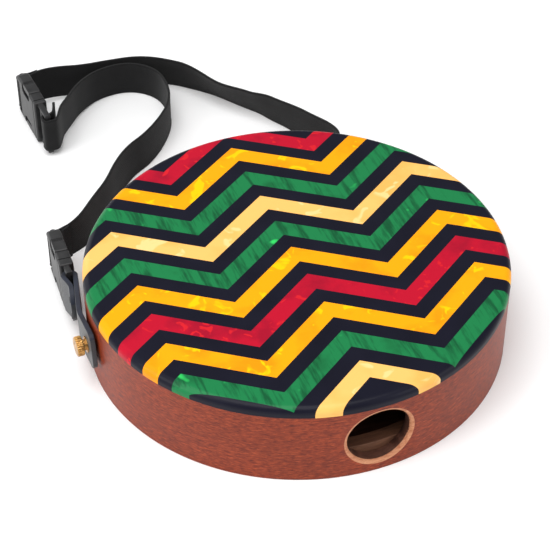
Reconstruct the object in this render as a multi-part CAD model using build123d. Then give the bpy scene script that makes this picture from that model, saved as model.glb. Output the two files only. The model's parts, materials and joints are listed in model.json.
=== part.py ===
"""A closed round drum: printed wooden head, bent wooden shell, plywood back and a webbing strap.

The frame is millimetres. The origin is the centre of the back's outer face, where the drum rests.
+Z goes up through the head. The sound port opens towards -Y and the near screw points along -X.
"""
import os
from math import atan, cos, degrees, radians, sin, tan

from build123d import *

# drum
drum_radius = 127.0
drum_height = 55.8
head_thickness = 6.6
head_edge_radius = 4.5
wall = 8.0
back_thickness = 4.0
lining_width = 8.0
lining_height = 10.0
glue_line = 0.05
port_radius = 19.0
port_height = 26.0
port_rounding = 2.0
mouth_dip = 1.5

# strap ends, in a frame with x outwards from the drum's axis, y along the shell and z up
screw_height = 29.0
far_bearing = 16.0
strap_droop = 7.0
shaft_radius = 2.5
running_gap = 0.06
insert_radius = 3.6
insert_length = 7.2
insert_depth = 0.4
spacer_radius = 5.5
spacer_thickness = 1.5
washer_radius = 5.0
washer_thickness = 0.8
knob_radius = 6.0
knob_thickness = 4.2
neck_radius = 3.4
neck_length = 1.7
knurl_count = 28
knurl_radius = 0.45

# leather tab
leather = 3.0
strap_width = 25.0
tab_front = -11.0
tab_straight = 17.0
tail_tip = 34.0
sewn_end = 44.0
seam_gap = 0.15
tab_corner = 5.0
tab_bend = 30.0
tail_bend = 12.0
tail_meets_bight = 50.0
bight_lean = 0.65
stitch_start = 3.2
stitch_length = 2.4
stitch_width = 0.7
stitch_height = 0.45
stitch_pitch = 3.1
stitch_row = 6.0
stitch_count = 2

# side release buckles
buckle_width = 33.0
buckle_thickness = 9.0
female_length = 38.0
female_end_width = 31.0
taper_start = 0.62 * female_length
end_corner = 6.0
female_rounding = 1.6
shell_skin = 1.6
notch_start = 8.0
notch_length = 15.0
notch_depth = 7.0
notch_rounding = 3.0
shoulder = 7.0
ladder_shoulder = 4.0
shoulder_rounding = 1.2
end_bar = 4.0
end_slot = 8.5
web_room = 0.5
bar_radius = 2.0
bar_distance = 13.0
rail = 2.6
rail_rounding = 0.9
tongue_length = 17.6
tongue_width = 5.0
tongue_thickness = 3.6
prong_width = 4.6
prong_thickness = 4.4
prong_root = 2.0
prong_arm = 2.6
pad_height = 0.6
pad_gap = 0.6
pad_slope = 5.0
pad_depth = 3.5
pad_thickness = 8.0
pad_bevel = 1.5
catch_depth = 3.4
root_hole = 3.0
shell_edge = 0.25
moving_gap = 0.35
ladder_bars = (8.6, 17.4)

# webbing
webbing = 1.5
web_gap = 0.12
fold_gap = 0.15
fold_bend = 2.0
sewn_bend = 3.0

# where the buckles are
tab_bar = (drum_radius - 1.5, 55.0)
near_buckle_turn = 3.7
far_buckle_turn = 20.0
middle_buckle_turn = 3.3
middle_mouth = (-94.5, 239.5)
middle_height = buckle_width / 2 + pad_height
near_fold_away = (-0.88, 0.47)
far_fold_away = (0.8, 0.6)
middle_fold_away = (0.96, 0.27)
fold_reach = 13.0
fold_pinch = 0.6 * fold_reach

short_route = [
    (-109.3, 110.0), (-98.0, 118.5), (-86.0, 133.5), (-73.5, 147.5), (-61.5, 165.5),
    (-49.0, 178.5), (-34.5, 187.0), (-20.5, 200.5), (-9.0, 216.0), (-3.0, 233.0),
    (-3.5, 257.0), (-20.0, 273.0), (-44.0, 272.0), (-62.0, 258.5), (-74.0, 242.5), (-80.3, 233.7),
]
long_route = [
    (-82.6, 279.2), (-70.0, 280.8), (-53.0, 278.6), (-33.0, 279.8), (-8.0, 277.0), (12.0, 266.0),
    (27.0, 248.5), (39.0, 228.5), (54.5, 209.5), (69.0, 186.0), (77.5, 166.0),
    (83.5, 151.0), (85.6, 138.4),
]
tail_route = [
    (-81.0, 232.5), (-88.5, 219.1), (-96.55, 219.1), (-96.55, 226.6), (-87.3, 226.6), (-84.0, 238.5),
]
tail_radii = (4.0, 2.9, 2.9, 5.0)


def put(name, shape):
    export_step(shape, f"parts/{name}.step")


def ring(outer, inner, low, high):
    tube = Cylinder(outer, high - low) - Cylinder(inner, high - low)
    return Pos(0, 0, (low + high) / 2) * tube


def along_x(radius, start, end, y=0.0, z=screw_height):
    rod = Cylinder(radius, end - start)
    return Pos((start + end) / 2, y, z) * Rot(0, 90, 0) * rod


def ribbon(points, radii, thickness, low, high):
    """A strip of the given thickness that stands on edge from low to high along a line."""
    line = FilletPolyline(*points, radius=radii) if len(points) > 2 else Line(*points)
    plan = trace(line, line_width=thickness)
    return Pos(0, 0, low) * extrude(plan, high - low)


def route_radii(points):
    """The largest arc at each corner that its two runs leave room for."""
    radii = []
    for before, corner, after in zip(points, points[1:], points[2:]):
        run_in = Vector(*corner) - Vector(*before)
        run_out = Vector(*after) - Vector(*corner)
        turn = radians(run_in.get_angle(run_out))
        radii.append(0.45 * min(run_in.length, run_out.length) / tan(turn / 2))
    return radii


# ---- drum ----

def make_shell():
    top = drum_height - head_thickness
    shell = ring(drum_radius, drum_radius - wall, 0, top)
    port = Pos(0, -drum_radius, port_height) * Rot(90, 0, 0) * Cylinder(port_radius, 4 * wall)
    shell -= port
    mouth = shell.edges().filter_by(lambda e: e.geom_type != GeomType.CIRCLE)
    mouth = mouth.filter_by(lambda e: e.center().Y < mouth_dip - drum_radius and e.length > port_radius)
    shell = fillet(mouth, port_rounding)
    hole = along_x(insert_radius, drum_radius - 2 * wall, drum_radius + wall)
    return shell - hole.mirror(Plane.YZ) - hole.rotate(Axis.Z, far_bearing)


def make_head():
    bottom = drum_height - head_thickness
    head = Pos(0, 0, bottom + head_thickness / 2) * Cylinder(drum_radius, head_thickness)
    return fillet(head.edges().filter_by(GeomType.CIRCLE).sort_by(Axis.Z)[-1], head_edge_radius)


def make_back():
    return Pos(0, 0, back_thickness / 2) * Cylinder(drum_radius - wall - glue_line, back_thickness)


def make_lining(low):
    outer = drum_radius - wall - glue_line
    return ring(outer, outer - lining_width, low, low + lining_height)


# ---- screws, inserts and washers ----

tab_face = drum_radius + spacer_thickness
cap_face = tab_face + leather
neck_start = cap_face + washer_thickness
knob_start = neck_start + neck_length
knob_end = knob_start + knob_thickness


def make_screw():
    shaft = along_x(shaft_radius, drum_radius - insert_depth - insert_length, neck_start)
    neck = along_x(neck_radius, neck_start, knob_start)
    knob = along_x(knob_radius, knob_start, knob_end)
    knob = chamfer(knob.edges().filter_by(GeomType.CIRCLE), 0.5)
    for i in range(knurl_count):
        angle = radians(360 * i / knurl_count)
        knob -= along_x(
            knurl_radius, knob_start, knob_end,
            knob_radius * cos(angle), screw_height + knob_radius * sin(angle),
        )
    return shaft + neck + knob


def make_washer(radius, start, end):
    return along_x(radius, start, end) - along_x(shaft_radius + running_gap, start, end)


# ---- leather tab ----

tab_line_v = tab_face + leather / 2
tab_slope = 0.22
tab_angle = atan(tab_slope)
bight = bar_radius + 0.15 + leather / 2
bight_y = tab_bar[1] + bight
inner_at_bight = tab_line_v - tab_slope * (bight_y - tab_straight)
outer_at_bight = tab_bar[0] + bight + bight_lean
layer_step = (leather + seam_gap) / cos(tab_angle)


def inner_line(y):
    return tab_line_v - tab_slope * (y - tab_straight)


def make_tab():
    low = screw_height - strap_width / 2
    high = screw_height + strap_width / 2
    sewn_x = inner_line(sewn_end) + layer_step
    split_x = sewn_x + (outer_at_bight - sewn_x) * (tail_meets_bight - sewn_end) / (bight_y - sewn_end)
    inner_path = [
        (tab_line_v, tab_front), (tab_line_v, tab_straight), (inner_at_bight, bight_y),
        (outer_at_bight, bight_y), (split_x, tail_meets_bight),
    ]
    inner = ribbon(inner_path, [tab_bend, bight, bight], leather, low, high)
    inner = fillet(inner.edges().filter_by(Axis.X).sort_by(Axis.Y)[:2], tab_corner)
    tip_x = inner_line(tail_tip) + layer_step
    tail_path = [(split_x, tail_meets_bight), (sewn_x, sewn_end), (tip_x, tail_tip)]
    tail = ribbon(tail_path, [tail_bend], leather, low, high)
    round_at = tail_tip + strap_width / 2
    round_tip = along_x(strap_width / 2, tab_face - strap_width, tab_face + strap_width, round_at)
    behind_tip = Box(2 * strap_width, 2 * strap_width, strap_width)
    behind_tip = Pos(tab_face, round_at + strap_width, screw_height) * behind_tip
    tab = inner + (tail & (round_tip + behind_tip))
    return tab - along_x(shaft_radius + running_gap, drum_radius, neck_start)


def make_tab_stitches():
    """Two rows of thread on the outer face of the sewn layers."""
    stitches = []
    face = layer_step + (leather + stitch_height) / 2 / cos(tab_angle)
    for row in (-stitch_row, stitch_row):
        for i in range(stitch_count):
            y = tail_tip + stitch_start + stitch_pitch * i
            bar = Box(stitch_height, stitch_length, stitch_width)
            turned = Rot(0, 0, degrees(tab_angle)) * bar
            stitches.append(Pos(inner_line(y) + face, y, screw_height + row) * turned)
    return stitches


# ---- buckle, with y along it from the mouth, x its thickness and z its width ----

def flat(points, thickness):
    """A plate with its outline in y and z, centred on x."""
    outline = Plane.YZ * make_face(Polyline(*points, close=True))
    return extrude(outline, thickness / 2, both=True)


def make_female():
    half, end = buckle_width / 2, female_end_width / 2
    upper = [(0, half), (taper_start, half), (female_length, end)]
    lower = [(y, -z) for y, z in reversed(upper)]
    body = flat(upper + lower, buckle_thickness)
    body = fillet(body.edges().filter_by(Axis.X).sort_by(Axis.Y)[-2:], end_corner)
    faces = body.edges().group_by(Axis.X)
    body = fillet(faces[0] + faces[-1], female_rounding)
    depth = notch_start + notch_length
    inside = buckle_thickness - 2 * shell_skin
    body -= Pos(0, depth / 2, 0) * Box(inside, depth, buckle_width - 2 * shell_skin)
    notch = Box(2 * buckle_thickness, notch_length, 2 * notch_depth)
    notch = fillet(notch.edges().filter_by(Axis.X), notch_rounding)
    for side in (-1, 1):
        body -= Pos(0, notch_start + notch_length / 2, side * half) * notch
    slot = Box(2 * buckle_thickness, 2 * end_slot, strap_width + 2 * web_room)
    body -= Pos(0, female_length, 0) * slot
    bar = Cylinder(end_bar / 2, strap_width + 6 * web_room)
    return body + Pos(0, female_length - end_bar / 2, 0) * bar


def make_male(shoulder, bars):
    reach = bars[-1] + bar_radius
    half = buckle_width / 2
    rail_at = strap_width / 2 + web_room + rail / 2
    body = Pos(0, -shoulder / 2, 0) * Box(buckle_thickness, shoulder, buckle_width)
    body = fillet(body.edges(), shoulder_rounding)
    tongue = Box(tongue_thickness, tongue_length + shoulder / 2, tongue_width)
    body += Pos(0, (tongue_length - shoulder / 2) / 2, 0) * tongue
    arm_start = shoulder - bar_radius
    for side in (-1, 1):
        arm = Box(2 * bar_radius, reach - arm_start, rail)
        arm = fillet(arm.edges().filter_by(Axis.Y), rail_rounding)
        body += Pos(0, -(reach + arm_start) / 2, side * rail_at) * arm
        hole = Box(prong_thickness + 2 * moving_gap, root_hole, prong_width + 2 * moving_gap)
        hole_z = half - shell_skin - moving_gap - prong_width / 2
        body -= Pos(0, moving_gap + shell_edge - root_hole / 2, side * hole_z) * hole
    for bar in bars:
        body += Pos(0, -bar, 0) * Cylinder(bar_radius, 2 * rail_at)
    return body


def make_prong(side):
    """A sprung arm with a thumb pad that fills the notch in the edge of the buckle."""
    half = buckle_width / 2
    outer = half - shell_skin - moving_gap
    start = notch_start + pad_gap
    end = notch_start + notch_length - pad_gap
    arm = [
        (-prong_root, outer - prong_arm), (-prong_root, outer), (end, outer),
        (end, outer - catch_depth), (start, outer - catch_depth), (pad_gap, outer - prong_arm),
    ]
    top, bottom = half + pad_height, half - pad_depth
    pad = [
        (start, bottom), (start, half), (start + pad_gap, top), (end - pad_slope, top), (end, half),
        (end, bottom + pad_bevel), (end - 2 * pad_bevel, bottom),
    ]
    arm = flat([(y, side * z) for y, z in arm], prong_thickness)
    return arm + flat([(y, side * z) for y, z in pad], pad_thickness)


def make_buckle(shoulder, bars):
    return {
        "female": make_female(),
        "male": make_male(shoulder, bars),
        "prong_upper": make_prong(1),
        "prong_lower": make_prong(-1),
    }


def make_fold(centre, away, height):
    """Webbing folded round an upright bar, its two layers drawn together where they are sewn."""
    along = Vector(*away).normalized()
    side = Vector(-along.Y, along.X)
    turn = end_bar / 2 + web_gap + webbing / 2
    sewn = (webbing + fold_gap) / 2
    spots = [(fold_reach, sewn), (fold_pinch, sewn), (web_room, turn), (-turn, turn)]
    spots += [(a, -b) for a, b in reversed(spots)]
    line = [Vector(*centre) + along * a + side * b for a, b in spots]
    path = [(point.X, point.Y) for point in line]
    tight = end_bar / 2 + webbing / 2
    radii = [sewn_bend, fold_bend, tight, tight, fold_bend, sewn_bend]
    return ribbon(path, radii, webbing, height - strap_width / 2, height + strap_width / 2)


def tab_piece(shape):
    """A strap end droops about its screw, so that its far buckle rests on the floor."""
    return shape.rotate(Axis((0, 0, screw_height), (1, 0, 0)), -strap_droop)


def at_near(shape):
    return shape.mirror(Plane.YZ)


def at_far(shape):
    return shape.rotate(Axis.Z, far_bearing)


def make_strap_end(turn):
    """One strap end's pieces, each a list of solids, along the shell at +X."""
    place = Pos(tab_bar[0], tab_bar[1], screw_height) * Rot(0, 0, turn)
    place *= Pos(0, bar_distance, 0)
    pieces = {
        "tab": [make_tab()],
        "stitches": make_tab_stitches(),
        "spacer_washer": [make_washer(spacer_radius, drum_radius, tab_face)],
        "cap_washer": [make_washer(washer_radius, cap_face, neck_start)],
        "thumb_screw": [make_screw()],
    }
    for name, piece in make_buckle(shoulder, (bar_distance,)).items():
        pieces[f"buckle_{name}"] = [place * piece]
    return {name: [tab_piece(solid) for solid in solids] for name, solids in pieces.items()}


def main():
    os.makedirs("parts", exist_ok=True)
    put("shell", make_shell())
    put("head_plate", make_head())
    put("back_plate", make_back())
    put("lower_lining", make_lining(back_thickness))
    put("upper_lining", make_lining(drum_height - head_thickness - lining_height))

    sides = {
        "near": (at_near, near_buckle_turn, near_fold_away),
        "far": (at_far, far_buckle_turn, far_fold_away),
    }
    insert_start = drum_radius - insert_depth - insert_length
    insert = along_x(insert_radius, insert_start, drum_radius - insert_depth)
    insert -= along_x(shaft_radius + running_gap, insert_start, drum_radius)
    bar_at = female_length - end_bar / 2 + bar_distance
    for side, (moved, turn, fold_away) in sides.items():
        for name, solids in make_strap_end(turn).items():
            put(f"{side}_{name}", Compound(children=[moved(solid) for solid in solids]))
        turned = radians(turn)
        end_bar_at = (tab_bar[0] - bar_at * sin(turned), tab_bar[1] + bar_at * cos(turned))
        fold = tab_piece(make_fold(end_bar_at, fold_away, screw_height))
        put(f"{side}_web_fold", moved(fold))
        put(f"{side}_insert", moved(insert))

    place = Pos(middle_mouth[0], middle_mouth[1], middle_height) * Rot(0, 0, middle_buckle_turn)
    for name, piece in make_buckle(ladder_shoulder, ladder_bars).items():
        put(f"middle_buckle_{name}", place * piece)
    turned, bar_at = radians(middle_buckle_turn), female_length - end_bar / 2
    middle_end = (middle_mouth[0] - bar_at * sin(turned), middle_mouth[1] + bar_at * cos(turned))
    put("middle_web_fold", make_fold(middle_end, middle_fold_away, middle_height))
    low = middle_height - strap_width / 2
    put("middle_web_tail", ribbon(tail_route, tail_radii, webbing, low, low + strap_width))

    for name, route in (("webbing_short", short_route), ("webbing_long", long_route)):
        radii = route_radii(route)
        print(name, "radii", [round(r) for r in radii])
        put(name, ribbon(route, radii, webbing, 0, strap_width))


main()
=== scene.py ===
import json
import math

import bmesh
import bpy
from mathutils import Matrix, Vector

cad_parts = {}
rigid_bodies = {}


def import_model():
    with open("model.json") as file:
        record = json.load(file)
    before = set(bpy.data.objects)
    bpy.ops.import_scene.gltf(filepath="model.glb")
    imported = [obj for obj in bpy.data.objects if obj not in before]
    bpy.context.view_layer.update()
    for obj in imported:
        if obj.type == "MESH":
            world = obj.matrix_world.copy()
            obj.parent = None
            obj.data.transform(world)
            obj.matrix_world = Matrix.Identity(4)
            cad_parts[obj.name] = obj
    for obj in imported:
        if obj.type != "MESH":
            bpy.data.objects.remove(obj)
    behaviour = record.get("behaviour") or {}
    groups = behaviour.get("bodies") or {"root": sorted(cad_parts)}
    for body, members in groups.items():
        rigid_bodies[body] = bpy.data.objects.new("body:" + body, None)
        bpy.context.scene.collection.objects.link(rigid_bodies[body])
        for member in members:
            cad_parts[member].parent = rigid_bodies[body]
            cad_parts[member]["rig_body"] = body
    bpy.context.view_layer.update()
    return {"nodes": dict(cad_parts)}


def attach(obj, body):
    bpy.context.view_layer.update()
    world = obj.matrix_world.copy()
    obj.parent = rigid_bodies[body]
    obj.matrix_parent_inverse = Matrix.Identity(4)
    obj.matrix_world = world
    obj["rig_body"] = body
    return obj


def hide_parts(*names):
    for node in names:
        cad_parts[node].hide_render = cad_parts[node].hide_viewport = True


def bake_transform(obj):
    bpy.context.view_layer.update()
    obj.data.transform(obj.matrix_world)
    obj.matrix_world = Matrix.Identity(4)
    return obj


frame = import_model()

mm = 0.001
nodes = frame["nodes"]
sceneObjects = bpy.context.scene.collection.objects


# camera: a long lens that looks down at the drum from in front and to the left

cameraSetup = {
    "distance": 1.07155, "elevation": 43.1008, "turn": -22.0,
    "lens": 114.15, "sensor": 36.0,
    "tilt": 1.634, "swing": 0.6889, "roll": 0.5556,
}


def makeCamera():
    data = bpy.data.cameras.new("tableCamera")
    data.lens = cameraSetup["lens"]
    data.sensor_width = cameraSetup["sensor"]
    camera = bpy.data.objects.new("tableCamera", data)
    orbit = Matrix.Rotation(math.radians(cameraSetup["turn"]), 4, "Z")
    orbit @= Matrix.Rotation(math.radians(90 - cameraSetup["elevation"]), 4, "X")
    aim = Matrix.Rotation(math.radians(cameraSetup["roll"]), 4, "Z")
    aim @= Matrix.Rotation(math.radians(cameraSetup["swing"]), 4, "Y")
    aim @= Matrix.Rotation(math.radians(cameraSetup["tilt"]), 4, "X")
    place = Matrix.Translation(orbit.col[2].to_3d() * cameraSetup["distance"])
    camera.matrix_world = place @ orbit @ aim
    sceneObjects.link(camera)
    bpy.context.scene.camera = camera


makeCamera()
print("camera set")


# node helpers for the materials

def newMaterial(name, **sockets):
    material = bpy.data.materials.new(name)
    material.use_nodes = True
    tree = material.node_tree
    shader = tree.nodes["Principled BSDF"]
    for socket, value in sockets.items():
        shader.inputs[socket.replace("_", " ")].default_value = value
    return material, tree, shader


def addNode(tree, kind, links=None, **values):
    node = tree.nodes.new(kind)
    for key, value in values.items():
        if hasattr(node, key):
            setattr(node, key, value)
        else:
            node.inputs[key.replace("_", " ")].default_value = value
    for socket, source in (links or {}).items():
        tree.links.new(source, node.inputs[socket])
    return node


def objectPoint(tree, scale=(1, 1, 1), turn=(0, 0, 0)):
    coords = addNode(tree, "ShaderNodeTexCoord")
    mapping = addNode(tree, "ShaderNodeMapping", {"Vector": coords.outputs["Object"]})
    mapping.inputs["Scale"].default_value = scale
    mapping.inputs["Rotation"].default_value = turn
    return mapping.outputs["Vector"]


def noise(tree, vector, scale, detail=4.0, roughness=0.5, distortion=0.0):
    node = addNode(tree, "ShaderNodeTexNoise", {"Vector": vector}, Scale=scale, Detail=detail)
    node.inputs["Roughness"].default_value = roughness
    node.inputs["Distortion"].default_value = distortion
    return node.outputs["Fac"]


def ramp(tree, factor, stops):
    node = addNode(tree, "ShaderNodeValToRGB", {"Fac": factor})
    while len(node.color_ramp.elements) < len(stops):
        node.color_ramp.elements.new(1.0)
    for element, (position, colour) in zip(node.color_ramp.elements, stops):
        element.position = position
        element.color = paint(colour) if isinstance(colour, tuple) else (colour, colour, colour, 1)
    return node.outputs["Color"]


def paint(colour):
    linear = []
    for value in colour:
        share = value / 255
        linear.append(share / 12.92 if share <= 0.04045 else ((share + 0.055) / 1.055) ** 2.4)
    return (*linear, 1.0)


def mixColour(tree, factor, first, second, blend="MIX"):
    node = addNode(tree, "ShaderNodeMix", data_type="RGBA", blend_type=blend)
    for socket, source in ((0, factor), (6, first), (7, second)):
        if isinstance(source, tuple):
            node.inputs[socket].default_value = paint(source)
        elif isinstance(source, float):
            node.inputs[socket].default_value = source
        else:
            tree.links.new(source, node.inputs[socket])
    return node.outputs[2]


def bump(tree, shader, height, strength, distance):
    node = addNode(tree, "ShaderNodeBump", {"Height": height}, Strength=strength, Distance=distance)
    tree.links.new(node.outputs["Normal"], shader.inputs["Normal"])


def roughen(tree, shader, factor, low, high):
    span = addNode(tree, "ShaderNodeMapRange", {"Value": factor})
    span.inputs["To Min"].default_value = low
    span.inputs["To Max"].default_value = high
    tree.links.new(span.outputs["Result"], shader.inputs["Roughness"])


# wood

def makeShellWood():
    material, tree, shader = newMaterial("satinMahogany", Coat_Weight=0.04, Coat_Roughness=0.35)
    shader.inputs["Specular IOR Level"].default_value = 0.22
    point = objectPoint(tree)
    split = addNode(tree, "ShaderNodeSeparateXYZ", {"Vector": point})
    bearing = addNode(tree, "ShaderNodeMath", operation="ARCTAN2")
    tree.links.new(split.outputs["X"], bearing.inputs[0])
    tree.links.new(split.outputs["Y"], bearing.inputs[1])
    around = addNode(tree, "ShaderNodeMath", {0: bearing.outputs[0]}, operation="MULTIPLY")
    around.inputs[1].default_value = 0.127
    unrolled = addNode(tree, "ShaderNodeCombineXYZ", {"X": around.outputs[0], "Y": split.outputs["Z"]})
    length = addNode(tree, "ShaderNodeVectorMath", {0: point}, operation="LENGTH")
    tree.links.new(length.outputs["Value"], unrolled.inputs["Z"])
    grain = addNode(tree, "ShaderNodeMapping", {"Vector": unrolled.outputs[0]})
    grain.inputs["Scale"].default_value = (260, 1400, 300)
    pores = addNode(tree, "ShaderNodeMapping", {"Vector": unrolled.outputs[0]})
    pores.inputs["Scale"].default_value = (420, 2600, 300)
    wide = noise(tree, unrolled.outputs[0], 26.0, 3.0, 0.5)
    flecks = noise(tree, grain.outputs[0], 1.0, 5.0, 0.62, 0.4)
    fine = noise(tree, pores.outputs[0], 1.0, 3.0, 0.6)
    colour = ramp(tree, flecks, [
        (0.30, (84, 24, 10)), (0.44, (124, 44, 20)), (0.55, (146, 57, 27)), (0.72, (184, 84, 46)),
    ])
    patches = ramp(tree, wide, [(0.35, 0.80), (0.68, 1.0)])
    colour = mixColour(tree, 0.75, colour, patches, "MULTIPLY")
    specks = ramp(tree, fine, [(0.34, (96, 34, 22)), (0.46, (255, 255, 255))])
    colour = mixColour(tree, 0.45, colour, specks, "MULTIPLY")
    tree.links.new(colour, shader.inputs["Base Color"])
    roughen(tree, shader, flecks, 0.34, 0.52)
    bump(tree, shader, fine, 0.10, 0.0002)
    return material


def makeRawWood(name, dark, light, scale):
    material, tree, shader = newMaterial(name)
    shader.inputs["Specular IOR Level"].default_value = 0.3
    point = objectPoint(tree, (1, 9, 9))
    grain = noise(tree, point, scale, 6.0, 0.6, 0.5)
    fine = noise(tree, point, scale * 7, 3.0, 0.6)
    colour = ramp(tree, grain, [(0.3, dark), (0.7, light)])
    specks = ramp(tree, fine, [(0.3, (190, 175, 160)), (0.55, (255, 255, 255))])
    colour = mixColour(tree, 0.5, colour, specks, "MULTIPLY")
    tree.links.new(colour, shader.inputs["Base Color"])
    roughen(tree, shader, fine, 0.55, 0.75)
    bump(tree, shader, fine, 0.15, 0.0002)
    return material


shellWood = makeShellWood()
portWood = makeRawWood("oiledPortEdge", (176, 106, 72), (220, 160, 122), 60.0)
# the inside wood's dark browns are painted shade for the inside of the drum: its inner wall, the deep part of
# the port and the back plate's inner face
insidePaintedShade = makeRawWood("insideWoodPaintedShade", (66, 38, 29), (98, 62, 48), 40.0)
backWood = makeRawWood("backPlywood", (168, 128, 88), (206, 168, 124), 30.0)
# the linings' wood is made dark brown: real wood, darkened as painted shade for the inside of the drum
liningPaintedShade = makeRawWood("liningPaintedShade", (84, 54, 40), (118, 80, 58), 50.0)


# brass, leather, plastic, thread

def makeBrass():
    material, tree, shader = newMaterial("agedBrass", Metallic=1.0)
    point = objectPoint(tree)
    stain = noise(tree, point, 420.0, 5.0, 0.6)
    colour = ramp(tree, stain, [(0.32, (120, 80, 42)), (0.5, (196, 150, 88)), (0.75, (226, 184, 122))])
    tree.links.new(colour, shader.inputs["Base Color"])
    roughen(tree, shader, stain, 0.42, 0.24)
    scratches = noise(tree, objectPoint(tree, (1, 1, 14)), 900.0, 2.0)
    bump(tree, shader, scratches, 0.12, 0.0001)
    return material


def makeLeather(name, dark, light, roughLow, roughHigh):
    material, tree, shader = newMaterial(name, Sheen_Weight=0.15, Sheen_Roughness=0.4)
    point = objectPoint(tree)
    cells = addNode(tree, "ShaderNodeTexVoronoi", {"Vector": point}, feature="DISTANCE_TO_EDGE", Scale=1500.0)
    pebbles = ramp(tree, cells.outputs["Distance"], [(0.0, 0.0), (0.28, 1.0)])
    wear = noise(tree, point, 110.0, 5.0, 0.6)
    colour = ramp(tree, wear, [(0.3, dark), (0.72, light)])
    tree.links.new(colour, shader.inputs["Base Color"])
    roughen(tree, shader, wear, roughLow, roughHigh)
    bump(tree, shader, pebbles, 0.22, 0.00012)
    return material


def makePlastic():
    material, tree, shader = newMaterial("mouldedPlastic")
    shader.inputs["Specular IOR Level"].default_value = 0.45
    point = objectPoint(tree)
    grain = noise(tree, point, 1800.0, 2.0)
    scuffs = noise(tree, point, 160.0, 6.0, 0.65)
    colour = ramp(tree, scuffs, [(0.3, (26, 26, 27)), (0.75, (42, 42, 43))])
    tree.links.new(colour, shader.inputs["Base Color"])
    roughen(tree, shader, scuffs, 0.34, 0.5)
    bump(tree, shader, grain, 0.12, 0.00008)
    return material


def makeThread():
    material, tree, shader = newMaterial("waxedThread", Roughness=0.6)
    point = {"Vector": objectPoint(tree)}
    twist = addNode(tree, "ShaderNodeTexWave", point, Scale=900.0, bands_direction="DIAGONAL")
    colour = ramp(tree, twist.outputs["Fac"], [(0.2, (20, 20, 22)), (0.8, (58, 58, 62))])
    tree.links.new(colour, shader.inputs["Base Color"])
    bump(tree, shader, twist.outputs["Fac"], 0.4, 0.0002)
    return material


brass = makeBrass()
leatherFace = makeLeather("leatherFace", (34, 35, 38), (62, 64, 68), 0.42, 0.58)
leatherEdge = makeLeather("leatherEdge", (18, 22, 34), (34, 42, 60), 0.5, 0.66)
buckleBlack = makePlastic()
thread = makeThread()


def makeRubber():
    material, tree, shader = newMaterial("spacerRubber")
    soft = noise(tree, objectPoint(tree), 700.0, 4.0)
    colour = ramp(tree, soft, [(0.3, (18, 18, 19)), (0.7, (34, 34, 35))])
    tree.links.new(colour, shader.inputs["Base Color"])
    roughen(tree, shader, soft, 0.6, 0.8)
    return material


rubber = makeRubber()


# webbing: a flat weave read from the ribbon's own map, in metres along it and across it

weave = {"pitch": 0.0011, "rib": 0.0016, "dark": (11, 11, 12), "light": (31, 31, 32)}


def makeWebbing():
    material, tree, shader = newMaterial("polyesterWebbing", Sheen_Weight=0.08, Sheen_Roughness=0.5)
    shader.inputs["Specular IOR Level"].default_value = 0.18
    flat = addNode(tree, "ShaderNodeUVMap", uv_map="alongAcross")
    split = addNode(tree, "ShaderNodeSeparateXYZ", {"Vector": flat.outputs["UV"]})

    def wave(source, pitch):
        turns = addNode(tree, "ShaderNodeMath", {0: source}, operation="MULTIPLY")
        turns.inputs[1].default_value = 2 * math.pi / pitch
        return addNode(tree, "ShaderNodeMath", {0: turns.outputs[0]}, operation="SINE").outputs[0]

    picks = wave(split.outputs["X"], weave["pitch"])
    ends = wave(split.outputs["Y"], weave["rib"])
    both = addNode(tree, "ShaderNodeMath", {0: picks, 1: ends}, operation="MULTIPLY")
    height = addNode(tree, "ShaderNodeMapRange", {"Value": both.outputs[0]})
    height.inputs["From Min"].default_value = -1.0
    fuzz = noise(tree, flat.outputs["UV"], 2600.0, 3.0, 0.6)
    cloud = noise(tree, flat.outputs["UV"], 60.0, 4.0, 0.6)
    woven = mixColour(tree, height.outputs["Result"], weave["dark"], weave["light"])
    tone = ramp(tree, cloud, [(0.3, 0.72), (0.7, 1.0)])
    colour = mixColour(tree, 1.0, woven, tone, "MULTIPLY")
    fuzzTone = ramp(tree, fuzz, [(0.3, 0.65), (0.7, 1.0)])
    colour = mixColour(tree, 0.6, colour, fuzzTone, "MULTIPLY")
    tree.links.new(colour, shader.inputs["Base Color"])
    roughen(tree, shader, fuzz, 0.7, 0.9)
    bump(tree, shader, height.outputs["Result"], 0.5, 0.0003)
    return material


webbingCloth = makeWebbing()
print("materials mixed")


def addPiece(name, mesh, materials, body=None):
    for material in materials:
        mesh.materials.append(material)
    piece = bpy.data.objects.new(name, mesh)
    sceneObjects.link(piece)
    if body:
        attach(piece, body)
    return piece


def smoothShade(mesh, angle=35):
    mesh.shade_smooth()
    mesh.set_sharp_from_angle(angle=math.radians(angle))


# webbing lengths. Each line runs round the bar at one end, along the table and round the bar at the other

webbing = {"width": 0.025, "thickness": 0.0015, "selvedge": 0.0019}

shortRoute = [
    (-0.1093, 0.1100), (-0.0980, 0.1185), (-0.0860, 0.1335), (-0.0735, 0.1475), (-0.0615, 0.1655),
    (-0.0490, 0.1785), (-0.0345, 0.1870), (-0.0205, 0.2005), (-0.0090, 0.2160), (-0.0030, 0.2330),
    (-0.0035, 0.2570), (-0.0200, 0.2730), (-0.0440, 0.2720), (-0.0620, 0.2585), (-0.0740, 0.2425),
    (-0.0803, 0.2337),
]
longRoute = [
    (-0.0826, 0.2792), (-0.0700, 0.2808), (-0.0530, 0.2786), (-0.0330, 0.2798), (-0.0080, 0.2770),
    (0.0120, 0.2660), (0.0270, 0.2485), (0.0390, 0.2285), (0.0545, 0.2095), (0.0690, 0.1860),
    (0.0775, 0.1660), (0.0835, 0.1510), (0.0856, 0.1384),
]


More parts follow.
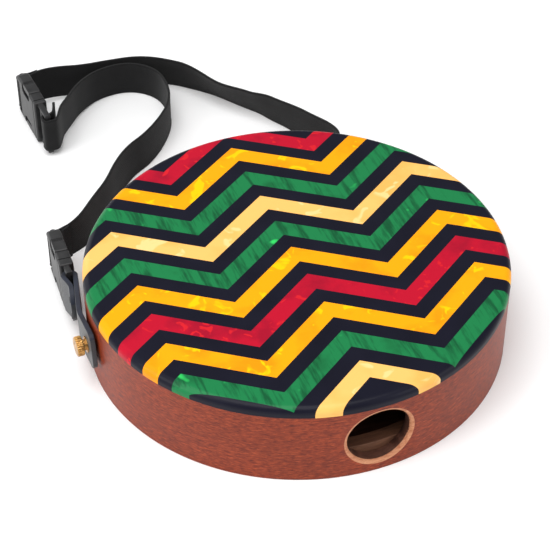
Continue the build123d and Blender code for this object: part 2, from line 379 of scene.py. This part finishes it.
def smoothLine(points):
    line = bpy.data.curves.new("route", "CURVE")
    line.dimensions = "3D"
    line.resolution_u = 10
    spline = line.splines.new("NURBS")
    spline.points.add(len(points) - 1)
    for knot, point in zip(spline.points, points):
        knot.co = (*point, 1)
    spline.order_u = 3
    spline.use_endpoint_u = True
    holder = bpy.data.objects.new("route", line)
    mesh = bpy.data.meshes.new_from_object(holder)
    points = [vertex.co.copy() for vertex in mesh.vertices]
    bpy.data.objects.remove(holder)
    return points


def between(keys, share):
    for (start, low), (end, high) in zip(keys, keys[1:]):
        if share <= end:
            part = (share - start) / (end - start)
            part = part * part * (3 - 2 * part)
            return low + (high - low) * part
    return keys[-1][1]


def ribbonProfile():
    half, thick = webbing["width"] / 2, webbing["thickness"] / 2
    bead = webbing["selvedge"] / 2
    upper = [
        (-half, 0.0), (-half + 0.15 * mm, bead * 0.75), (-half + 0.7 * mm, bead),
        (-half + 1.6 * mm, thick), (-half * 0.4, thick), (half * 0.4, thick),
        (half - 1.6 * mm, thick), (half - 0.7 * mm, bead), (half - 0.15 * mm, bead * 0.75),
    ]
    return upper + [(-across, -out) for across, out in upper]


def makeRibbon(name, points, leans):
    # leans are (share of the length, degrees that the top edge leans to the right of the run)
    shape = bmesh.new()
    uvLayer = shape.loops.layers.uv.new("alongAcross")
    profile = ribbonProfile()
    steps = [(b - a).length for a, b in zip(points, points[1:])]
    total = sum(steps)
    walked = 0.0
    rings = []
    for i, point in enumerate(points):
        run = (points[min(i + 1, len(points) - 1)] - points[max(i - 1, 0)]).normalized()
        right = run.cross(Vector((0, 0, 1))).normalized()
        upright = right.cross(run)
        lean = math.radians(between(leans, walked / total))
        turn = Matrix.Rotation(lean, 3, run)
        right, upright = turn @ right, turn @ upright
        point = point - Vector((0, 0, webbing["width"] / 2 * (1 - math.cos(lean))))
        ring = [shape.verts.new(point + upright * a + right * out) for a, out in profile]
        rings.append((walked, ring))
        if i < len(steps):
            walked += steps[i]
    count = len(profile)
    for (startAt, first), (endAt, second) in zip(rings, rings[1:]):
        for j in range(count):
            k = (j + 1) % count
            face = shape.faces.new((first[j], first[k], second[k], second[j]))
            corners = ((startAt, j), (startAt, k), (endAt, k), (endAt, j))
            for loop, (along, spot) in zip(face.loops, corners):
                loop[uvLayer].uv = (along, profile[spot][0])
    for along, ring in (rings[0], rings[-1]):
        cap = shape.faces.new(ring)
        for loop, (across, out) in zip(cap.loops, profile):
            loop[uvLayer].uv = (along + out, across)
    bmesh.ops.recalc_face_normals(shape, faces=shape.faces)
    mesh = bpy.data.meshes.new(name)
    shape.to_mesh(mesh)
    shape.free()
    smoothShade(mesh, 50)
    mesh.materials.append(webbingCloth)
    piece = bpy.data.objects.new(name, mesh)
    sceneObjects.link(piece)
    return piece, total


# heights of the webbing's middle, on the table and at the middle buckle

onTable = webbing["width"] / 2
middleHeight = 0.0171


def lift(points, low, high, over):
    # the line climbs from the table to the buckle's height over a part of its length
    last = len(points) - 1
    lifted = []
    for i, (x, y) in enumerate(points):
        startPart = max(0.0, 1 - i / over)
        endPart = max(0.0, 1 - (last - i) / over)
        lifted.append((x, y, onTable + (low - onTable) * startPart + (high - onTable) * endPart))
    return lifted


# where each fold's bar is, the way that its webbing leaves, and the height of its middle
folds = {
    "near": {"bar": (-0.1223, 0.1031), "away": (0.88, 0.47), "height": 0.0163},
    "far": {"bar": (0.0769, 0.1264), "away": (0.60, 0.80), "height": 0.0167},
    "middle": {"bar": (-0.0966, 0.2754), "away": (0.96, 0.27), "height": 0.0171},
}
foldTurn = 0.0029
foldSewn = 0.00085
foldReach = 0.0125
climb = 3


def foldLine(where, side):
    # the layer that comes back, then round the bar, ending where the long run starts
    fold = folds[where]
    along = Vector((*fold["away"], 0)).normalized()
    out = Vector((-along.y, along.x, 0)) * side
    bar = Vector((*fold["bar"], fold["height"]))
    spots = [
        (foldReach, -foldSewn), (foldReach * 0.7, -foldSewn), (foldReach * 0.45, -foldSewn * 1.3),
        (foldReach * 0.2, -foldTurn * 0.95), (0.0, -foldTurn * 1.05), (-foldTurn, -foldTurn),
        (-foldTurn * 1.15, 0.0), (-foldTurn, foldTurn), (0.0, foldTurn * 1.05),
        (foldReach * 0.2, foldTurn * 0.95), (foldReach * 0.45, foldSewn * 1.3), (foldReach * 0.7, foldSewn),
    ]
    return [tuple(bar + along * a + out * b) for a, b in spots]


ladder = [
    (-0.0825, 0.2300), (-0.0875, 0.2190), (-0.0917, 0.2184), (-0.0961, 0.2186), (-0.0969, 0.2220),
    (-0.0966, 0.2253), (-0.0940, 0.2266), (-0.0900, 0.2266), (-0.0868, 0.2290), (-0.0845, 0.2385),
]


def makeBands():
    shortLine = foldLine("near", 1) + lift(shortRoute, folds["near"]["height"], middleHeight, climb)
    shortLine += [(x, y, middleHeight) for x, y in ladder]
    shortLeans = [(0.0, 0.0), (0.09, 0.0), (0.16, -8.0), (0.38, -6.0), (0.5, 0.0), (1.0, 0.0)]
    points = smoothLine(shortLine)
    short, length = makeRibbon("bandShort", points, shortLeans)
    print("short band", round(length, 4))
    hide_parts("webbing_short", "near_web_fold", "middle_web_tail")
    bar = Vector((*folds["near"]["bar"], folds["near"]["height"]))
    freeLine = [tuple(bar)] + lift(shortRoute, folds["near"]["height"], middleHeight, climb)
    freeLine = smoothLine(freeLine + [(x, y, middleHeight) for x, y in ladder[:4]])
    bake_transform(short)

    longLine = foldLine("middle", -1) + lift(longRoute, middleHeight, folds["far"]["height"], climb)
    backLine = foldLine("far", -1)
    backLine.reverse()
    longLine += backLine
    longLeans = [
        (0.0, 0.0), (0.30, 0.0), (0.43, 12.0), (0.55, 28.0), (0.62, 23.0), (0.68, 12.0), (0.78, 4.0),
        (0.86, 0.0), (1.0, 0.0),
    ]
    points = smoothLine(longLine)
    long, length = makeRibbon("bandLong", points, longLeans)
    print("long band", round(length, 4))
    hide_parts("webbing_long", "far_web_fold", "middle_web_fold")
    start = Vector((*folds["middle"]["bar"], middleHeight))
    end = Vector((*folds["far"]["bar"], folds["far"]["height"]))
    freeLine = lift(longRoute, middleHeight, folds["far"]["height"], climb)
    freeLine = smoothLine([tuple(start)] + freeLine + [tuple(end)])
    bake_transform(long)


makeBands()
print("webbing laid")


# head: one printed plate with a rounded rim

head = {
    "radius": 0.127, "low": 0.0492, "high": 0.0558, "rim": 0.0045,
    "sides": 256, "rimSteps": 8,
}

# the print's finishes, in the order of the plate's material slots
inks = {
    "ground": (30, 29, 44), "cream": (250, 190, 104), "amber": (250, 164, 4),
    "green": (26, 120, 68), "crimson": (184, 12, 42),
}
inkOrder = list(inks)


def gloss(material):
    shader = material.node_tree.nodes["Principled BSDF"]
    shader.inputs["Coat Weight"].default_value = 0.06
    shader.inputs["Coat Roughness"].default_value = 0.12
    shader.inputs["Roughness"].default_value = 0.42
    shader.inputs["Specular IOR Level"].default_value = 0.12


def makeGround():
    material, tree, shader = newMaterial("printGround")
    gloss(material)
    cloud = noise(tree, objectPoint(tree), 38.0, 4.0, 0.55)
    colour = ramp(tree, cloud, [(0.3, (13, 13, 27)), (0.75, (20, 20, 35))])
    tree.links.new(colour, shader.inputs["Base Color"])
    return material


def makeBlotched(name, main, second, third, scale):
    # a printed colour with soft clouds and a few sharper blotches
    material, tree, shader = newMaterial(name)
    gloss(material)
    point = objectPoint(tree)
    cloud = noise(tree, point, scale, 4.0, 0.5)
    spots = noise(tree, point, scale * 2.3, 2.0, 0.5, 1.2)
    colour = ramp(tree, cloud, [(0.36, second), (0.5, main)])
    spotMask = ramp(tree, spots, [(0.60, 0.0), (0.66, 1.0)])
    colour = mixColour(tree, spotMask, colour, third)
    tree.links.new(colour, shader.inputs["Base Color"])
    return material


def makeStreaked(name, main, dark, bright):
    material, tree, shader = newMaterial(name)
    gloss(material)
    streak = noise(tree, objectPoint(tree, (1, 0.12, 1), (0, 0, math.radians(35))), 260.0, 4.0, 0.6)
    cloud = noise(tree, objectPoint(tree), 42.0, 3.0, 0.5)
    spots = noise(tree, objectPoint(tree), 90.0, 1.0, 0.4)
    colour = ramp(tree, streak, [(0.36, dark), (0.52, main)])
    shade = ramp(tree, cloud, [(0.30, 0.62), (0.42, 1.0)])
    colour = mixColour(tree, 0.8, colour, shade, "MULTIPLY")
    spotMask = ramp(tree, spots, [(0.70, 0.0), (0.78, 1.0)])
    colour = mixColour(tree, spotMask, colour, bright)
    tree.links.new(colour, shader.inputs["Base Color"])
    return material


def makeInks():
    return [
        makeGround(),
        makeBlotched("printCream", inks["cream"], (242, 178, 90), (252, 208, 136), 30.0),
        makeBlotched("printAmber", inks["amber"], (246, 146, 3), (252, 196, 0), 34.0),
        makeStreaked("printGreen", inks["green"], (14, 84, 48), (50, 204, 96)),
        makeBlotched("printCrimson", inks["crimson"], (160, 9, 40), (206, 28, 40), 46.0),
    ]


# the print: plain zigzag rows, in mm on the plate, which run past the rim and wrap over it
zigzag = {
    "reach": 144, "halfPeriod": 48, "rise": 34, "thickness": 14, "pitch": 26, "rows": 11,
    "colours": ["cream", "green", "amber", "crimson", "amber", "green"],
}


def zigzagRow(row):
    low = (row - zigzag["rows"] / 2) * zigzag["pitch"]
    turns = range(2 * zigzag["reach"] // zigzag["halfPeriod"] + 1)
    line = [(i * zigzag["halfPeriod"] - zigzag["reach"], low + zigzag["rise"] * (i % 2)) for i in turns]
    upper = [(x, y + zigzag["thickness"]) for x, y in reversed(line)]
    return line + upper


def insideOutline(spot, corners):
    crossings = 0
    for (x1, y1), (x2, y2) in zip(corners, corners[1:] + corners[:1]):
        if (y1 > spot.y) != (y2 > spot.y) and spot.x < x1 + (spot.y - y1) * (x2 - x1) / (y2 - y1):
            crossings += 1
    return crossings % 2 == 1


def touches(face, low, high):
    xs = [v.co.x / mm for v in face.verts]
    ys = [v.co.y / mm for v in face.verts]
    return max(xs) > low.x and min(xs) < high.x and max(ys) > low.y and min(ys) < high.y


def paintShape(shape, corners, slot):
    low = Vector((min(x for x, y in corners), min(y for x, y in corners)))
    high = Vector((max(x for x, y in corners), max(y for x, y in corners)))
    for (x1, y1), (x2, y2) in zip(corners, corners[1:] + corners[:1]):
        faces = [f for f in shape.faces if f.normal.z > -0.9 and touches(f, low, high)]
        geometry = set(faces)
        for face in faces:
            geometry.update(face.edges)
            geometry.update(face.verts)
        spot = Vector((x1 * mm, y1 * mm, 0))
        across = Vector((y2 - y1, x1 - x2, 0)).normalized()
        bmesh.ops.bisect_plane(shape, geom=list(geometry), dist=1e-6, plane_co=spot, plane_no=across)
    for face in shape.faces:
        centre = face.calc_center_median() / mm
        if face.normal.z > -0.9 and insideOutline(centre, corners):
            face.material_index = slot


def plateNormals(mesh):
    # true normals of the flat top and the rounded rim, so that the print's cuts don't show
    flat = head["radius"] - head["rim"]
    edge = head["high"] - head["rim"]
    normals = []
    for polygon in mesh.polygons:
        for index in polygon.vertices:
            point = mesh.vertices[index].co
            if polygon.normal.z < -0.9:
                normals.append((0, 0, -1))
                continue
            spread = Vector((point.x, point.y, 0))
            away = max(0.0, spread.length - flat)
            rise = max(0.0, point.z - edge)
            normal = spread.normalized() * away + Vector((0, 0, rise))
            normals.append(normal.normalized() if away > 1e-7 else Vector((0, 0, 1)))
    mesh.normals_split_custom_set(normals)


def makeHead():
    shape = bmesh.new()
    bmesh.ops.create_circle(shape, cap_ends=True, radius=head["radius"], segments=head["sides"])
    bmesh.ops.translate(shape, verts=shape.verts, vec=(0, 0, head["low"]))
    grown = bmesh.ops.extrude_face_region(shape, geom=list(shape.faces))
    lifted = [g for g in grown["geom"] if isinstance(g, bmesh.types.BMVert)]
    bmesh.ops.translate(shape, verts=lifted, vec=(0, 0, head["high"] - head["low"]))
    rim = [e for e in shape.edges if all(v.co.z > head["high"] - 1e-6 for v in e.verts)]
    bmesh.ops.bevel(shape, geom=rim, offset=head["rim"], offset_type="OFFSET", affect="EDGES",
                    segments=head["rimSteps"], profile=0.5, material=-1, clamp_overlap=True)
    bmesh.ops.recalc_face_normals(shape, faces=shape.faces)
    for row in range(zigzag["rows"]):
        ink = zigzag["colours"][row % len(zigzag["colours"])]
        paintShape(shape, zigzagRow(row), inkOrder.index(ink))
    mesh = bpy.data.meshes.new("printedHead")
    shape.to_mesh(mesh)
    shape.free()
    mesh.shade_smooth()
    plateNormals(mesh)
    piece = addPiece("printedHead", mesh, makeInks(), "drum")
    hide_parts("head_plate")
    return piece


makeHead()
print("head printed")


# pieces that keep the CAD's shape, with softened edges and clean shading

def finishNode(node, materials, edge=0.0, angle=35, choose=None, extra=None):
    shape = bmesh.new()
    shape.from_mesh(nodes[node].data)
    bmesh.ops.remove_doubles(shape, verts=shape.verts, dist=2e-6)
    bmesh.ops.dissolve_limit(shape, angle_limit=math.radians(0.6), verts=shape.verts, edges=shape.edges)
    if extra:
        extra(shape)
    if choose:
        for face in shape.faces:
            face.material_index = choose(face)
    name = node.title().replace("_", "")
    mesh = bpy.data.meshes.new(name[0].lower() + name[1:])
    shape.to_mesh(mesh)
    shape.free()
    smoothShade(mesh, angle)
    piece = addPiece(mesh.name, mesh, materials, nodes[node]["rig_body"])
    if edge:
        soften = piece.modifiers.new("softEdges", "BEVEL")
        soften.width = edge
        soften.segments = 2
        soften.limit_method = "ANGLE"
        soften.angle_limit = math.radians(angle)
        soften.harden_normals = True
    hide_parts(node)
    return piece


shellSetup = {"radius": 0.127, "inner": 0.119, "portHeight": 0.026, "portRadius": 0.019, "portLip": 0.0021}


def shellFace(face):
    # outer wall, port edge, and the inside, which gets the darker wood as painted shade
    centre = face.calc_center_median()
    reach = Vector((centre.x, centre.y)).length
    if reach < shellSetup["inner"] + 1e-4:
        return 2
    fromPort = Vector((centre.x, centre.z - shellSetup["portHeight"])).length
    atPort = centre.y < 0 and fromPort < shellSetup["portRadius"] + shellSetup["portLip"] + 1e-4
    if atPort and reach < shellSetup["radius"] - 2e-5:
        return 1 if reach > shellSetup["radius"] - shellSetup["portLip"] else 2
    return 0


def backFace(face):
    # the back plate's face inside the drum gets the darker wood as painted shade; its other faces keep the
    # plain plywood
    return 1 if face.normal.z > 0.5 else 0


finishNode("shell", [shellWood, portWood, insidePaintedShade], 0.0, 40, shellFace)
finishNode("back_plate", [backWood, insidePaintedShade], 0.0004, 35, backFace)
finishNode("lower_lining", [liningPaintedShade], 0.0004)
finishNode("upper_lining", [liningPaintedShade], 0.0004)


def tabFace(face):
    centre = face.calc_center_median()
    flat = abs(face.normal.z) < 0.5
    return 0 if flat else 1


# where each buckle is: its mouth, with y along it and z across its width
strapEnd = {"bar": (0.1255, 0.0550, 0.0290), "barToMouth": 0.0130, "droop": -7.0}


def strapEndPlace(turn):
    screw = Vector((0, 0, strapEnd["bar"][2]))
    droop = Matrix.Translation(screw) @ Matrix.Rotation(math.radians(strapEnd["droop"]), 4, "X")
    droop @= Matrix.Translation(-screw)
    place = Matrix.Translation(strapEnd["bar"]) @ Matrix.Rotation(math.radians(turn), 4, "Z")
    return droop @ place @ Matrix.Translation((0, strapEnd["barToMouth"], 0))


middlePlace = Matrix.Translation((-0.0945, 0.2395, middleHeight))
buckles = {
    "near": Matrix.Scale(-1, 4, (1, 0, 0)) @ strapEndPlace(3.7),
    "far": Matrix.Rotation(math.radians(16), 4, "Z") @ strapEndPlace(20.0),
    "middle": middlePlace @ Matrix.Rotation(math.radians(3.3), 4, "Z"),
}
ribs = {"first": 18.3, "pitch": 1.1, "count": 4, "width": 6.6, "length": 0.5, "low": 16.2, "high": 17.05}


def addRibs(side, way):
    # grip ribs across a thumb pad's slope
    def build(shape):
        height = ribs["high"] - ribs["low"]
        for i in range(ribs["count"]):
            spot = Vector((0, ribs["first"] + i * ribs["pitch"], way * (ribs["low"] + height / 2))) * mm
            size = Matrix.Diagonal((ribs["width"] * mm, ribs["length"] * mm, height * mm, 1))
            bmesh.ops.create_cube(shape, size=1.0, matrix=buckles[side] @ Matrix.Translation(spot) @ size)
        bmesh.ops.recalc_face_normals(shape, faces=shape.faces)
    return build


for side in ("near", "far"):
    finishNode(f"{side}_thumb_screw", [brass], 0.00012, 30)
    finishNode(f"{side}_insert", [brass], 0.0001)
    finishNode(f"{side}_cap_washer", [brass], 0.00018)
    finishNode(f"{side}_spacer_washer", [rubber], 0.0002)
    finishNode(f"{side}_tab", [leatherFace, leatherEdge], 0.0005, 35, tabFace)
    finishNode(f"{side}_stitches", [thread], 0.00018)
for side in ("near", "far", "middle"):
    for part in ("female", "male"):
        finishNode(f"{side}_buckle_{part}", [buckleBlack], 0.00035)
    for part, way in (("upper", 1), ("lower", -1)):
        ribsHere = addRibs(side, way)
        finishNode(f"{side}_buckle_prong_{part}", [buckleBlack], 0.0002, 35, None, ribsHere)
print("hardware finished")


# floor and soft studio light

studio = {"floor": 6.0, "pale": (250, 250, 250), "white": (255, 255, 255)}


def makeFloor():
    shape = bmesh.new()
    bmesh.ops.create_grid(shape, x_segments=1, y_segments=1, size=studio["floor"])
    mesh = bpy.data.meshes.new("paleFloor")
    shape.to_mesh(mesh)
    shape.free()
    material, tree, shader = newMaterial("paleFloor", Roughness=0.85)
    tone = noise(tree, objectPoint(tree), 3.0, 2.0)
    colour = ramp(tree, tone, [(0.0, studio["pale"]), (1.0, studio["white"])])
    tree.links.new(colour, shader.inputs["Base Color"])
    mesh.materials.append(material)
    floor = bpy.data.objects.new("paleFloor", mesh)
    floor.location = (0, 0, -0.0002)
    sceneObjects.link(floor)


def addLight(name, power, size, place, target, colour=(1, 1, 1)):
    data = bpy.data.lights.new(name, "AREA")
    data.energy = power
    data.size = size
    data.color = colour
    light = bpy.data.objects.new(name, data)
    light.location = place
    light.rotation_euler = (Vector(target) - Vector(place)).to_track_quat("-Z", "Y").to_euler()
    sceneObjects.link(light)


def makeStudio():
    makeFloor()
    world = bpy.data.worlds.new("studio")
    world.use_nodes = True
    world.node_tree.nodes["Background"].inputs["Color"].default_value = (1, 1, 1, 1)
    world.node_tree.nodes["Background"].inputs["Strength"].default_value = 0.38
    bpy.context.scene.world = world
    addLight("overhead", 26, 1.5, (-0.35, -0.25, 1.7), (0, 0.05, 0))
    addLight("leftWindow", 12, 1.0, (-1.5, -0.2, 0.9), (0, 0, 0))
    addLight("rightFill", 8, 1.0, (1.1, -1.2, 0.8), (0, 0, 0))
    addLight("backFill", 5, 1.0, (-0.6, 1.6, 0.6), (0, 0, 0))
    bpy.context.scene.view_settings.view_transform = "Standard"


makeStudio()
print("studio lit")
